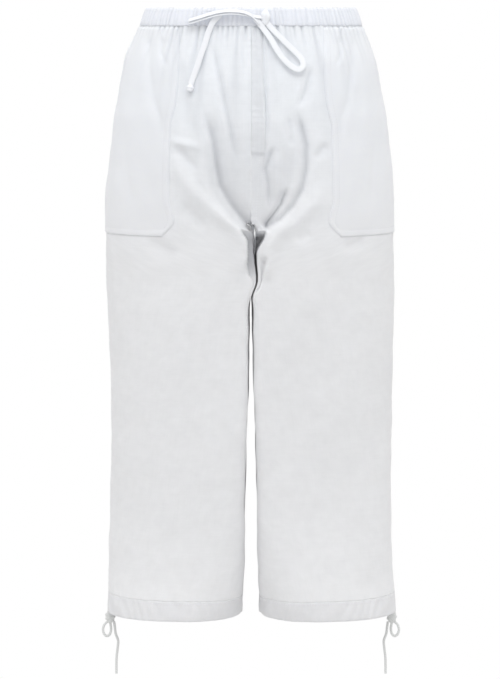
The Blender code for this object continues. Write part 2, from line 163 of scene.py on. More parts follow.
def gridInto(points, uv, outward=None, paintedShade=None):
    # a plain grid pulled into place, its UV map in metres, each point's painted shade kept as a vertex
    # attribute
    rows, columns = points.shape[:2]
    bm = bmesh.new()
    bmesh.ops.create_grid(bm, x_segments=columns - 1, y_segments=rows - 1, size=0.5)
    layer = bm.loops.layers.uv.new("cloth")
    hollow = bm.verts.layers.float.new("paintedShade")
    spot = {}
    for vert in bm.verts:
        i = round((vert.co.y + 0.5) * (rows - 1))
        j = round((vert.co.x + 0.5) * (columns - 1))
        spot[vert.index] = (i, j)
        vert.co = points[i, j]
        if paintedShade is not None:
            vert[hollow] = paintedShade[i, j]
    for face in bm.faces:
        for loop in face.loops:
            loop[layer].uv = uv[spot[loop.vert.index]]
    if outward is not None:
        bm.normal_update()
        facing = 0.0
        for face in list(bm.faces)[::17]:
            i, j = spot[face.verts[0].index]
            facing += face.normal.dot(Vector(outward[i, j]))
        if facing < 0:
            bmesh.ops.reverse_faces(bm, faces=bm.faces)
    return bm


def closeTube(bm, caps):
    # joins the first and last columns, and fills the ends
    bmesh.ops.remove_doubles(bm, verts=bm.verts, dist=1e-6)
    if caps:
        ends = [edge for edge in bm.edges if edge.is_boundary]
        bmesh.ops.holes_fill(bm, edges=ends, sides=0)
    bmesh.ops.recalc_face_normals(bm, faces=bm.faces)


def ribbon(path, across, width, thickness, sides=16):
    # a flat tube along the path; across is the width's direction at each point
    tangent = np.gradient(path, axis=0)
    tangent /= np.linalg.norm(tangent, axis=1, keepdims=True)
    across = across - tangent * (across * tangent).sum(axis=1, keepdims=True)
    across /= np.linalg.norm(across, axis=1, keepdims=True)
    up = np.cross(tangent, across)
    angle = np.linspace(0, 2 * math.pi, sides + 1)
    angle[-1] = 0
    wide = np.sign(np.cos(angle)) * np.abs(np.cos(angle)) ** 0.75 * width / 2
    thick = np.sign(np.sin(angle)) * np.abs(np.sin(angle)) ** 0.75 * thickness / 2
    points = (path[:, None, :] + across[:, None, :] * wide[None, :, None]
              + up[:, None, :] * thick[None, :, None])
    along = runLength(path)
    girth = np.linspace(0, width * 2.2, sides + 1)
    uv = np.stack(np.broadcast_arrays(girth[None, :], along[:, None]), axis=2)
    bm = gridInto(points, uv)
    closeTube(bm, True)
    return bm


# shader maths as plain expressions

class Value:
    def __init__(self, finish, socket):
        self.finish = finish
        self.socket = socket

    def math(self, operation, *others, flip=False):
        terms = [*others, self] if flip else [self, *others]
        return self.finish.node("ShaderNodeMath", {"operation": operation}, dict(enumerate(terms)))

    def __add__(self, other):
        return self.math("ADD", other)

    def __radd__(self, other):
        return self.math("ADD", other, flip=True)

    def __sub__(self, other):
        return self.math("SUBTRACT", other)

    def __rsub__(self, other):
        return self.math("SUBTRACT", other, flip=True)

    def __mul__(self, other):
        return self.math("MULTIPLY", other)

    def __rmul__(self, other):
        return self.math("MULTIPLY", other, flip=True)


class Finish:
    def __init__(self, name):
        self.material = bpy.data.materials.new(name)
        self.material.use_nodes = True
        self.tree = self.material.node_tree
        self.shader = self.tree.nodes["Principled BSDF"]

    def node(self, kind, settings=None, values=None, output=0):
        made = self.tree.nodes.new(kind)
        for key, value in (settings or {}).items():
            setattr(made, key, value)
        for key, value in (values or {}).items():
            if isinstance(value, Value):
                self.tree.links.new(value.socket, made.inputs[key])
            else:
                made.inputs[key].default_value = value
        return Value(self, made.outputs[output])

    def mix(self, factor, one, other):
        return self.node("ShaderNodeMix", {"data_type": "RGBA"}, {0: factor, 6: one, 7: other}, 2)

    def feed(self, name, value):
        if isinstance(value, Value):
            self.tree.links.new(value.socket, self.shader.inputs[name])
        else:
            self.shader.inputs[name].default_value = value


def weaveFinish(name, look):
    # plain weave: two sets of threads over and under, with slubs and faint mottling, plus painted shade and a
    # painted cool cast from above
    made = Finish(name)
    coords = made.node("ShaderNodeUVMap", {"uv_map": "cloth"})
    wobble = made.node("ShaderNodeTexNoise", None,
                       {"Vector": coords, "Scale": 90.0, "Detail": 1.0}, 0)
    parts = made.node("ShaderNodeSeparateXYZ", None, {0: coords})
    upward = Value(made, parts.socket.node.outputs[1])
    slide = (wobble - 0.5) * look["pitch"] * 1.4
    warp = (parts + slide) * (math.pi / look["pitch"])
    weft = (upward + slide) * (math.pi / look["pitch"])
    over = warp.math("SINE") * weft.math("SINE") * 0.5 + 0.5
    warpThread = warp.math("COSINE").math("ABSOLUTE")
    weftThread = weft.math("COSINE").math("ABSOLUTE")
    threads = over * warpThread + (1 - over) * weftThread
    alongWarp = made.node("ShaderNodeMapping", None, {"Vector": coords, "Scale": (520.0, 22.0, 1.0)})
    alongWeft = made.node("ShaderNodeMapping", None, {"Vector": coords, "Scale": (22.0, 520.0, 1.0)})
    slubs = (made.node("ShaderNodeTexNoise", None, {"Vector": alongWarp, "Scale": 1.0, "Detail": 2.0})
             + made.node("ShaderNodeTexNoise", None, {"Vector": alongWeft, "Scale": 1.0, "Detail": 2.0}))
    mottle = made.node("ShaderNodeTexNoise", None, {"Vector": coords, "Scale": 70.0, "Detail": 4.0,
                                                    "Roughness": 0.6})
    # painted shade: how much each point is darkened, read from its vertex attribute
    paintedShade = made.node("ShaderNodeAttribute", {"attribute_name": "paintedShade"}, None, 2)
    shade = (threads * look["threadTone"] + (slubs - 1) * look["slubTone"]
             + (mottle - 0.5) * look["mottleTone"])
    colour = made.mix(shade + 0.5, (*look["dark"], 1), (*look["light"], 1))
    # painted light: towards the top the cloth is tinted cooler, the cast of the cool light from above
    height = (upward + 0.36).math("MULTIPLY", 4.0).math("MINIMUM", 1.0).math("MAXIMUM", 0.0)
    colour = made.node("ShaderNodeMix", {"data_type": "RGBA", "blend_type": "MULTIPLY"},
                       {0: height * look["coolCastFromAbove"], 6: colour, 7: (0.90, 0.95, 1.0, 1)}, 2)
    # painted shade: the colour is multiplied towards grey where the painted shade is high
    colour = made.node("ShaderNodeMix", {"data_type": "RGBA", "blend_type": "MULTIPLY"},
                       {0: paintedShade, 6: colour, 7: (0.53, 0.535, 0.55, 1)}, 2)
    made.feed("Base Color", colour)
    made.feed("Roughness", 0.78 + (mottle - 0.5) * 0.1)
    pile = threads + (slubs - 1) * 0.5
    bump = made.node("ShaderNodeBump", None,
                     {"Strength": look["bump"], "Distance": 0.0002, "Height": pile})
    made.feed("Normal", bump)
    made.feed("Sheen Weight", look["sheen"])
    made.feed("Sheen Roughness", 0.6)
    made.feed("Specular IOR Level", 0.25)
    made.feed("Subsurface Weight", look["through"])
    made.feed("Subsurface Radius", (1.0, 0.97, 0.93))
    made.feed("Subsurface Scale", 0.0035)
    return made.material


def cordFinish(name, look):
    # strands laid in a twist round the cord
    made = Finish(name)
    coords = made.node("ShaderNodeUVMap", {"uv_map": "cloth"})
    parts = made.node("ShaderNodeSeparateXYZ", None, {0: coords})
    along = Value(made, parts.socket.node.outputs[1])
    twist = (parts * (2 * math.pi * look["strands"] / look["girth"])
             + along * (2 * math.pi / look["lay"])).math("SINE") * 0.5 + 0.5
    fuzz = made.node("ShaderNodeTexNoise", None, {"Vector": coords, "Scale": 1500.0, "Detail": 2.0})
    colour = made.mix(twist * 0.6 + fuzz * 0.4, (*look["dark"], 1), (*look["light"], 1))
    made.feed("Base Color", colour)
    made.feed("Roughness", 0.75 + (fuzz - 0.5) * 0.15)
    bump = made.node("ShaderNodeBump", None,
                     {"Strength": look["bump"], "Distance": 0.0003, "Height": twist + fuzz * 0.3})
    made.feed("Normal", bump)
    made.feed("Sheen Weight", 0.2)
    return made.material


cotton = {"threadTone": 0.15, "bump": 0.35, "sheen": 0.15, "through": 0.5}
finishes = {
    "cloth": weaveFinish("white cotton", {
        "pitch": 0.00062, "dark": (0.780, 0.779, 0.788), "light": (0.950, 0.949, 0.958), "coolCastFromAbove": 0.62,
        "slubTone": 0.22, "mottleTone": 0.55, **cotton}),
    "casing": weaveFinish("gathered white cotton", {
        "pitch": 0.00058, "dark": (0.735, 0.745, 0.785), "light": (0.89, 0.90, 0.94), "coolCastFromAbove": 0.25,
        "slubTone": 0.15, "mottleTone": 0.3, **cotton}),
    "patch": weaveFinish("pocket cotton", {
        "pitch": 0.00062, "dark": (0.935, 0.935, 0.99), "light": (1.0, 1.0, 1.0), "coolCastFromAbove": 0.55,
        "slubTone": 0.22, "mottleTone": 0.60, **cotton}),
    "tape": weaveFinish("soft cotton tape", {
        "pitch": 0.00075, "dark": (0.78, 0.785, 0.81), "light": (0.925, 0.93, 0.95), "coolCastFromAbove": 0.2,
        "threadTone": 0.3, "slubTone": 0.2, "mottleTone": 0.3, "bump": 0.5, "sheen": 0.2,
        "through": 0.3}),
    "thread": cordFinish("sewing thread", {
        "strands": 2, "girth": 0.0015, "lay": 0.0012, "dark": (0.74, 0.75, 0.78),
        "light": (0.93, 0.94, 0.97), "bump": 0.3}),
    "tie": cordFinish("twisted cotton cord", {
        "strands": 2, "girth": 0.0079, "lay": 0.0036, "dark": (0.66, 0.67, 0.66),
        "light": (0.90, 0.91, 0.90), "bump": 0.4}),
}
print("finishes made")

drawstring = {
    "width": 0.0080, "thickness": 0.0013,
    "knot": (0.0199, -0.1185, -0.0132), "knotSize": (0.0135, 0.0090, 0.0220),
    "endKnot": (-0.0838, -0.1247, -0.1097), "endKnotSize": (0.0105, 0.0095, 0.0112),
    # routes in millimetres
    "rightLoop": ((12.5, -120.6, -22.8), (9.6, -120.6, -18.9), (1.8, -121.2, -11.4),
        (-7, -121.6, -6.8), (-15.9, -121.6, -4.8), (-27, -121.2, -4.2), (-37.5, -120.5, -4.6),
        (-51.2, -119, -7), (-65, -116, -11.2), (-76, -112.2, -14.5), (-84, -109, -16.8),
        (-86.2, -108.2, -19), (-83.5, -108.8, -20), (-76, -111.8, -18.2), (-65, -115.6, -14.6),
        (-51.2, -118.6, -10.2), (-37.5, -120.1, -7.7), (-27, -120.8, -7.2), (-15.9, -120.8, -7.8),
        (-5, -120.2, -9.6), (8, -119.4, -12.2), (16.5, -118.8, -13)),
    "leftLoop": ((6, -120.4, -15), (12, -121, -21.8), (17.4, -121.4, -29.1), (27.3, -123.6, -42.7),
        (35.1, -125.8, -56.4), (44.8, -127.6, -70), (56.6, -128.2, -80.5), (64, -128.2, -83.8),
        (70, -126.8, -81.8), (71.5, -125, -75.5), (68, -123.4, -68), (56.7, -122.3, -56.4),
        (44.9, -121.6, -44.9), (35.1, -120.8, -35.1), (26.5, -119.8, -26.2), (21.5, -119, -19)),
    "freeEnd": ((-42, -116.6, -9), (-48.1, -116.4, -14.8), (-53.2, -116, -21.5),
        (-59.1, -116.2, -35.2), (-63.2, -118.4, -48.8), (-68.9, -120.6, -64.5), (-74.8, -122.8, -82),
        (-80, -124, -96), (-83, -124.6, -105.5)),
}
hemTie = {
    "width": 0.0036,
    "knot": (0.2030, -0.0010, -0.8725), "knotSize": (0.0150, 0.0090, 0.0200),
    # routes in millimetres
    "loop": ((207.5, -1, -880.3), (211.8, -1.5, -885), (213.4, -2, -892), (211.2, -2.5, -898.5),
        (207, -2.5, -900.8), (203.2, -2, -897.5), (201.8, -1.5, -891.5), (202.2, -1, -886),
        (203.3, -0.8, -880.6)),
    "end": ((197.5, -2, -879.5), (196.2, -3.5, -888), (195, -4, -897), (191.6, -3.5, -907.5),
        (192.5, -2.8, -919), (194, -2.2, -932), (194.4, -2, -945), (194.4, -2, -955.7)),
}


def knotBall(name, centre, size, finish, slot, node, turns, lean):
    # a knot pulled tight: a rounded lump with its wraps as ridges round it
    bm = bmesh.new()
    bmesh.ops.create_uvsphere(bm, u_segments=48, v_segments=32, radius=0.5)
    layer = bm.loops.layers.uv.new("cloth")
    for vert in bm.verts:
        x, y, z = vert.co * 2
        around = math.atan2(y, x)
        wrap = math.cos(turns * math.pi * z + lean * around)
        swell = 1 + 0.10 * wrap * (1 - z * z) - 0.05 * math.cos(2 * around)
        vert.co *= swell
    for face in bm.faces:
        for loop in face.loops:
            co = loop.vert.co
            loop[layer].uv = (math.atan2(co.y, co.x) * size[0] / 2, co.z * size[2])
    bmesh.ops.scale(bm, vec=size, verts=bm.verts)
    bmesh.ops.translate(bm, vec=centre, verts=bm.verts)
    return addPiece(name, bm, finish, slot, node)


def addDrawstring():
    wide, thick = drawstring["width"], drawstring["thickness"]
    tape = finishes["tape"]
    knot = knotBall("bow.knot", drawstring["knot"], drawstring["knotSize"], tape, "tape",
                    "bow_knot", 1.5, 1.0)
    endKnot = knotBall("bow.end.knot", drawstring["endKnot"], drawstring["endKnotSize"], tape, "tape",
                       "bow_end_knot", 2.5, 1.0)
    # the first loop lies on edge, and the other two strands lie flat on the cloth
    plans = (
        ("bow.loop.right", "rightLoop", "bow_loop_right", False, "object", "loose", [knot]),
        ("bow.loop.left", "leftLoop", "bow_loop_left", True, "object", "hanging", []),
        ("bow.end", "freeEnd", "bow_end", True, "knot", "hanging", [endKnot]),
    )
    for name, key, node, flat, farEnd, lay, others in plans:
        path = smoothRoute(drawstring[key], 0.0012)
        if flat:
            turned = np.cross(np.gradient(path, axis=0), (0.15, -1.0, 0.15))
        else:
            turned = np.tile((0.0, 1.0, 0.60), (len(path), 1))
        bm = ribbon(path, turned, wide, thick)
        made = addPiece(name, bm, tape, "tape", node)


def addHemTie(side, word):
    tie = finishes["tie"]
    wide = hemTie["width"]
    mirror = np.array((side, 1, 1))
    knot = knotBall("tie.knot." + word, mirror * hemTie["knot"], hemTie["knotSize"], tie, "tie",
                    "tie_knot_" + word, 3.0, side * 1.0)
    for part, key, farEnd, others in (("loop", "loop", "object", [knot]), ("end", "end", "bare", [])):
        path = smoothRoute(mirror * np.array(hemTie[key]), 0.0008)
        across = np.tile((0.0, 1.0, 0.0), (len(path), 1))
        bm = ribbon(path, across, wide, wide, 14)
        made = addPiece("tie." + part + "." + word, bm, tie, "tie", "tie_" + part + "_" + word)


addCamera()
addDrawstring()
addHemTie(1, "left")
addHemTie(-1, "right")
print("camera and cords made")


# the cloth surface: the same sections as the solids, then folds, gathers and seams

folds = {
    # side, depth, half width towards the centre and away from it, sharpness, fade at start and end,
    # (across, down) points; lengths in millimetres
    "front": (
        # the wearer's right
        (-1, -5.6, 6, 3.6, 1.6, 0.16, 0.3, ((54, 46), (47, 80), (40, 112), (33, 145), (26, 185),
            (17, 226))),
        (-1, -7.4, 11, 3.4, 1.6, 0.22, 0.04, ((68, 132), (60, 158), (53, 184), (49, 218), (44, 245),
            (31, 268), (14, 290), (0, 306))),
        (-1, -3.6, 7, 7, 1.8, 0.25, 0.4, ((106, 190), (94, 202), (82, 214), (68, 226))),
        (-1, 3.4, 6, 6, 2, 0.3, 0.3, ((114, 180), (89, 187), (64, 193))),
        (-1, 5, 8, 13, 1.9, 0.25, 0.12, ((110, 204), (79, 251), (52, 277), (26, 298), (12, 325),
            (10, 370))),
        (-1, -3, 9, 9, 2, 0.25, 0.25, ((99, 56), (92, 110), (86, 140), (80, 182))),
        (-1, -2.4, 8, 12, 2, 0.25, 0.3, ((152, 321), (122, 332), (96, 344))),
        (-1, -2.6, 3.4, 3.4, 1.8, 0.15, 0.4, ((11.5, 28), (11.5, 60), (10, 104))),
        (-1, 2.2, 6, 6, 2, 0.2, 0.4, ((23, 32), (21, 80), (14, 140))),
        (-1, -2.6, 11, 12, 2, 0.3, 0.3, ((100, 268), (80, 288), (60, 306))),
        # the wearer's left
        (1, -4.6, 4, 6, 1.5, 0.25, 0.3, ((83, 78), (76, 112), (64, 140))),
        (1, -7.8, 10, 3.4, 1.6, 0.16, 0.04, ((62, 136), (72, 163), (78, 188), (78, 222), (72, 250),
            (59, 273), (40, 292), (14, 306))),
        (1, -3, 4.5, 4, 1.7, 0.25, 0.3, ((53, 146), (57, 192))),
        (1, -3.2, 6.5, 6.5, 1.8, 0.25, 0.4, ((108, 187), (98, 196), (86, 210))),
        (1, -5.6, 4.5, 4, 1.5, 0.15, 0.3, ((32, 188), (21, 222), (24, 244), (28, 285))),
        (1, 3.6, 4.5, 6, 1.8, 0.25, 0.3, ((37, 196), (35, 236), (38, 268))),
        (1, -6.8, 3.2, 4.5, 1.4, 0.2, 0.06, ((51, 246), (42, 271), (30, 288), (16, 306))),
        (1, 5, 9, 13, 1.9, 0.25, 0.12, ((102, 226), (88, 266), (62, 294), (36, 310), (20, 330),
            (14, 380))),
        (1, -7.4, 9, 2, 1.8, 0.25, 0.15, ((19.5, 341), (14, 352), (8.5, 367), (4, 382), (1, 396))),
        (1, -3.4, 2, 3.4, 1.7, 0.08, 0.35, ((19, 45), (19.5, 100), (22.2, 155), (22.2, 210))),
        (1, -2.2, 8, 11, 2, 0.3, 0.3, ((162, 320), (125, 334))),
        (1, -2, 7, 8, 2, 0.3, 0.3, ((86, 308), (60, 322))),
    ),
    "both": (
        (-2.2, 7, 6, 1.8, 0.15, 0.25, ((143, 28), (141, 81), (134, 126), (125, 153), (123, 195))),
        (-2, 3.6, 3.6, 1.7, 0.2, 0.3, ((123, 38), (124, 62), (116, 84))),
        (-1, 6, 6, 2, 0.3, 0.3, ((149, 105), (158, 150))),
        (-1, 6, 6, 2, 0.3, 0.3, ((176, 165), (165, 280))),
    ),
    "back": (
        (-1, -6, 8, 11, 1.7, 0.25, 0.15, ((120, 210), (85, 258), (50, 292), (22, 320))),
        (1, -6.4, 8, 11, 1.7, 0.25, 0.15, ((126, 222), (92, 262), (54, 300), (20, 328))),
        (-1, 4, 10, 10, 2, 0.25, 0.25, ((128, 250), (90, 292), (52, 322), (28, 352))),
        (1, 4, 10, 10, 2, 0.25, 0.25, ((118, 256), (82, 300), (46, 334))),
        (-1, -3.6, 8, 10, 1.8, 0.15, 0.35, ((44, 40), (50, 100), (60, 150), (64, 190))),
        (1, -3.4, 8, 10, 1.8, 0.15, 0.35, ((52, 40), (56, 96), (58, 140))),
        (-1, -3, 9, 10, 1.8, 0.15, 0.35, ((108, 50), (114, 120), (118, 170))),
        (1, -3.2, 9, 10, 1.8, 0.15, 0.35, ((100, 50), (108, 110), (116, 180))),
        (-1, -3, 16, 12, 2, 0.3, 0.3, ((80, 380), (92, 470), (96, 560))),
        (1, -3, 12, 16, 2, 0.3, 0.3, ((112, 370), (104, 450), (100, 600))),
    ),
}
# the recessed middle of the front: how far back it lies, and how dark its painted shade is
plateau = {
    "depth": 0.0042, "shadeTone": 0.24,
    "edge": ((0.130, 0.062), (0.200, 0.070), (0.240, 0.066), (0.270, 0.052), (0.290, 0.036), (0.310, 0.016)),
}
gather = {"spacing": (0.0055, 0.0115), "height": (0.0014, 0.0040), "reach": (0.014, 0.115)}
# the hollow below the fly: down, where it starts at the wearer's right, where it ends at the left,
# how deep the cloth lies on the two sides of the line where the thighs touch
hollow = {
    "rows": (
        (0.298, -0.0190, 0.0235, 0.000, 0.000), (0.303, -0.0155, 0.0228, 0.0015, 0.0015),
        (0.309, -0.0122, 0.0208, 0.006, 0.007), (0.314, -0.0092, 0.0190, 0.010, 0.018),
        (0.318, -0.0066, 0.0174, 0.012, 0.032), (0.321, -0.0052, 0.0160, 0.014, 0.036),
        (0.328, -0.0045, 0.0120, 0.015, 0.036), (0.336, -0.0042, 0.0084, 0.015, 0.030),
        (0.345, -0.0048, 0.0066, 0.013, 0.016), (0.356, -0.0058, 0.0060, 0.012, 0.008),
        (0.366, -0.0042, 0.0060, 0.010, 0.006), (0.379, 0.0020, 0.0058, 0.006, 0.004),
        (0.392, 0.0020, 0.0040, 0.003, 0.003), (0.404, 0.0008, 0.0008, 0.000, 0.000),
    ),
    "aside": 0.0056, "edge": 0.0011, "start": 0.298, "end": 0.404,
    # the two tones are painted shade laid in the hollow on each side, darker where it is cut deeper
    "full": 0.013, "rightShadeTone": 0.86, "leftShadeTone": 0.72,
}
touching = {"down": 0.374, "tall": 0.021, "wide": 0.03, "lean": 0.0028, "turn": 0.022}
sectionCount = 120


def quarter(start, end, startRunsAlongY, curve=body["curve"]):
    # quarter of a rounded section, leaving start along Y or along X
    angle = np.linspace(0, math.pi / 2, sectionCount)
    late = 1 - np.cos(angle) ** (2 / curve)
    early = np.sin(angle) ** (2 / curve)
    alongX, alongY = (late, early) if startRunsAlongY else (early, late)
    return np.stack([start[0] + (end[0] - start[0]) * alongX,
                     start[1] + (end[1] - start[1]) * alongY], axis=1)


sectionCache = {}


def section(down):
    # one side's section: centre front or inseam, out to the side, back to the centre back or inseam
    key = round(down, 6)
    if key not in sectionCache:
        wide, front, back = (readTable(body["outline"], k, down) for k in (1, 2, 3))
        edge, inseam, frontTurn, frontCrest, backTurn, backCrest = (
            readTable(body["inner"], k, down) for k in range(1, 7))
        front = -front
        frontSeam = (edge, front + frontTurn * (inseam - front))
        backSeam = (edge, back + backTurn * (inseam - back))
        side = (wide, 0.0)
        crest = (edge + frontCrest, front)
        corner = (edge, front + min(frontCrest, frontSeam[1] - front))
        wall = np.linspace(frontSeam, corner, 60, endpoint=False)
        inner = np.concatenate([wall, quarter(corner, crest, True, body["innerCurve"])])
        frontHalf = np.concatenate([inner, quarter(crest, side, False)[1:]])
        crest = (edge + backCrest, back)
        backHalf = np.concatenate([quarter(side, crest, True), quarter(crest, backSeam, False)[1:]])
        sectionCache[key] = (frontHalf, runLength(frontHalf), backHalf, runLength(backHalf))
    return sectionCache[key]


def baseSkin(side, downs, turn):
    # turn runs 0 to 1 round the front half and 1 to 2 round the back half
    points = np.empty(turn.shape + (3,))
    for i, down in enumerate(downs):
        frontHalf, frontRun, backHalf, backRun = section(down)
        t = turn[i]
        front = np.clip(t, 0, 1) * frontRun[-1]
        back = np.clip(t - 1, 0, 1) * backRun[-1]
        for k in range(2):
            points[i, :, k] = np.where(t <= 1, np.interp(front, frontRun, frontHalf[:, k]),
                                       np.interp(back, backRun, backHalf[:, k]))
        points[i, :, 0] *= side
        points[i, :, 2] = -down
    return points


def foldLine(across, down, depth, inner, outer, sharpness, fadeIn, fadeOut, line):
    # one fold along a line, with its own half width on each side, fading towards both ends
    line = np.array(line) / 1000
    depth, inner, outer = depth / 1000, inner / 1000, outer / 1000
    length = runLength(line)
    best = np.full(across.shape, 1e9)
    signed = np.zeros(across.shape)
    along = np.zeros(across.shape)
    for i in range(len(line) - 1):
        step = line[i + 1] - line[i]
        dx, dy = across - line[i, 0], down - line[i, 1]
        t = np.clip((dx * step[0] + dy * step[1]) / (step @ step), 0, 1)
        distance = np.hypot(dx - t * step[0], dy - t * step[1])
        nearer = distance < best
        best = np.where(nearer, distance, best)
        signed = np.where(nearer, step[0] * dy - step[1] * dx, signed)
        along = np.where(nearer, (length[i] + t * (length[i + 1] - length[i])) / length[-1], along)
    width = np.where(signed > 0, inner, outer)
    taper = smooth(along, -0.01, fadeIn) * smooth(1 - along, -0.01, fadeOut)
    return depth * taper * np.exp(-(best / width) ** sharpness)


def gatherRidges(seed, count):
    draw = np.random.default_rng(seed)
    places = np.cumsum(draw.uniform(*gather["spacing"], count))
    short, long = gather["reach"]
    return list(zip(places, draw.uniform(*gather["height"], count),
                    short + (long - short) * draw.uniform(0, 1, count) ** 2.5))


ridges = {(1, 0): gatherRidges(11, 60), (-1, 0): gatherRidges(12, 60),
          (1, 1): gatherRidges(13, 60), (-1, 1): gatherRidges(14, 60)}


def swells(seed, count, pitch):
    direction = np.random.default_rng(seed).normal(size=(count, 3)) * pitch
    return direction, np.random.default_rng(seed + 1).uniform(0, 6.28, count)


waves = [swells(21, 14, (26, 26, 14)), swells(23, 16, (75, 75, 48))]
swellHeights = (0.00048, 0.00016)


def reliefOf(side, downs, turn, points, normal):
    across = points[..., 0] * side
    down = np.broadcast_to(np.asarray(downs)[:, None], turn.shape)
    facing = normal[..., 1]
    toFront = smooth(-facing, 0.05, 0.55)
    toBack = smooth(facing, 0.05, 0.55)
    relief = np.zeros(turn.shape)
    paintedShade = np.zeros(turn.shape)
    lines = [(rest, toFront) for foldSide, *rest in folds["front"] if foldSide == side]
    lines += [(rest, toFront) for rest in folds["both"]]
    lines += [(rest, toBack) for foldSide, *rest in folds["back"] if foldSide == side]
    for rest, mask in lines:
        added = foldLine(across, down, *rest) * mask
        relief += added
        # deep folds are painted darker as well, as shade
        paintedShade += np.clip(-added - 0.0008, 0, None) / 0.026 + np.clip(-added - 0.0038, 0, None) / 0.016
    # the cloth between the two long drags lies further back, and is painted darker there as shade
    rim = np.interp(down, *np.array(plateau["edge"]).T)
    recess = (toFront * smooth(down, 0.145, 0.235) * (1 - smooth(down, 0.302, 0.312))
              * (1 - smooth(across, rim - 0.014, rim)))
    relief -= plateau["depth"] * recess
    paintedShade += plateau["shadeTone"] * recess
    # gathers below the band, each running straight down its own line, their grooves painted darker as shade
    below = np.clip(down - body["bandHeight"], 0, None)
    for half in (0, 1):
        girth = section(body["bandHeight"])[1 + 2 * half][-1]
        place = (turn - half) * girth
        inside = (turn >= half) & (turn <= half + 1)
        for at, height, reach in ridges[(side, half)]:
            if at > girth + 0.004:
                continue
            centre = math.exp(-((at - 0.035) / 0.06) ** 2) if half == 0 else 0.5
            long = reach * (0.75 + 0.5 * centre)
            wide = 0.0019 + 0.05 * np.clip(below, 0, 0.09)
            added = (inside * height * (0.75 + 0.45 * centre) * np.exp(-((place - at) / wide) ** 2)
                     * np.exp(-(below / long) ** 1.5))
            relief -= added
            paintedShade += added / 0.009
    # slow swells and small unevenness that run right round the garment
    nearBand = smooth(down, body["bandHeight"], body["bandHeight"] + 0.05)
    for (direction, phase), height in zip(waves, swellHeights):
        for k in range(len(phase)):
            relief += height * nearBand * np.sin(points @ direction[k] + phase[k])
    # seams: a small valley with the cloth drawn into it
    frontRun = np.array([section(d)[1][-1] for d in downs])[:, None]
    backRun = np.array([section(d)[3][-1] for d in downs])[:, None]
    sideSeam = np.where(turn <= 1, (1 - turn) * frontRun, (turn - 1) * backRun)
    centreSeam = np.where(turn <= 1, turn * frontRun, (2 - turn) * backRun)
    pucker = 0.0002 * np.sin(down * 520 + 2 * np.sin(down * 130))
    shallow = np.where((turn <= 1) & (down < 0.41), 0.25, 1.0)
    for distance, amount in ((sideSeam, 1.0), (centreSeam, shallow)):
        relief += amount * (-0.0009 + pucker) * np.exp(-(distance / 0.0018) ** 2)
        relief += pucker * np.exp(-(distance / 0.008) ** 2)
    # hem: short slanting puckers above the casing
    hemNear = np.exp(-((body["legEnd"] - down) / 0.014) ** 2)
    relief += 0.00045 * hemNear * np.sin(centreSeam * 300 + down * 160 + 3 * np.sin(centreSeam * 47))
    return relief, paintedShade


def skin(side, downs, turn, lift=0.0):
    # finished outer surface, its normals and its painted shade
    downs = np.asarray(downs, float)
    turn = np.asarray(turn, float)
    points = baseSkin(side, downs, turn)
    e = 0.002
    around = baseSkin(side, downs, np.clip(turn + e, 0, 2)) - baseSkin(side, downs, np.clip(turn - e, 0, 2))
    step = 0.002
    downward = (baseSkin(side, np.clip(downs + step, 0, body["length"]), turn)
                - baseSkin(side, np.clip(downs - step, 0, body["length"]), turn))
    normal = np.cross(downward, around) * side
    normal /= np.linalg.norm(normal, axis=2, keepdims=True)
    relief, paintedShade = reliefOf(side, downs, turn, points, normal)
    points = points + normal * (relief + lift)[..., None]
    # legs that nearly touch below the crotch lean a little to one side and back together
    depth = -points[..., 2]
    touch = (np.exp(-(points[..., 0] / touching["wide"]) ** 2)
             * np.exp(-((depth - touching["down"]) / touching["tall"]) ** 2))
    points[..., 0] += touching["lean"] * np.sin(points[..., 1] / touching["turn"]) * touch
    aside = smooth(depth, 0.292, 0.312) * (1 - smooth(depth, 0.376, 0.406))
    points[..., 0] += hollow["aside"] * aside * np.exp(-(points[..., 0] / 0.035) ** 2)
    start, stop, rightDepth, leftDepth = (readTable(hollow["rows"], k, depth) for k in (1, 2, 3, 4))
    x = points[..., 0]
    if side > 0:
        cut = leftDepth * smooth(stop - x, -hollow["edge"], hollow["edge"])
    else:
        cut = rightDepth * smooth(x - start, -hollow["edge"], hollow["edge"])
    cut = np.where((depth > hollow["start"]) & (depth < hollow["end"]) & (turn <= 1), cut, 0)
    face = -readTable(body["outline"], 2, depth)
    points[..., 1] += np.clip(face + cut - points[..., 1], 0, None) * smooth(cut, 0.0, 0.0008)
    # painted shade in the hollow below the fly, darker where it is deeper
    shadeTone = hollow["leftShadeTone"] if side > 0 else hollow["rightShadeTone"]
    paintedShade = paintedShade + np.clip(cut / hollow["full"], 0, 1) * shadeTone
    return points, normal, paintedShade


panel = {
    "frontColumns": 138, "backColumns": 100,
    "frontRows": ((0.0238, 0.028, 5), (0.028, 0.070, 34), (0.070, 0.285, 95), (0.285, 0.345, 70),
                  (0.345, 0.420, 50), (0.420, 0.828, 88), (0.828, 0.8356, 9)),
    "backRows": ((0.0238, 0.028, 5), (0.028, 0.070, 30), (0.070, 0.420, 100), (0.420, 0.828, 70),
                 (0.828, 0.8356, 9)),
}


def rowHeights(stretches):
    parts = [np.linspace(low, high, count, endpoint=False) for low, high, count in stretches]
    return np.concatenate(parts + [[stretches[-1][1]]])


def thicken(piece, thickness):
    layer = piece.modifiers.new("thickness", "SOLIDIFY")
    layer.thickness = thickness
    layer.offset = -1


def clothUV(side, downs, turn):
    # metres round and metres up; the two sides' threads run as mirror images
    place = np.empty(turn.shape)
    for i, down in enumerate(downs):
        frontRun, backRun = section(down)[1][-1], section(down)[3][-1]
        place[i] = np.where(turn[i] <= 1, turn[i] * frontRun, frontRun + (turn[i] - 1) * backRun)
    height = np.broadcast_to(-np.asarray(downs)[:, None], turn.shape)
    return np.stack([place * side, height], axis=2)


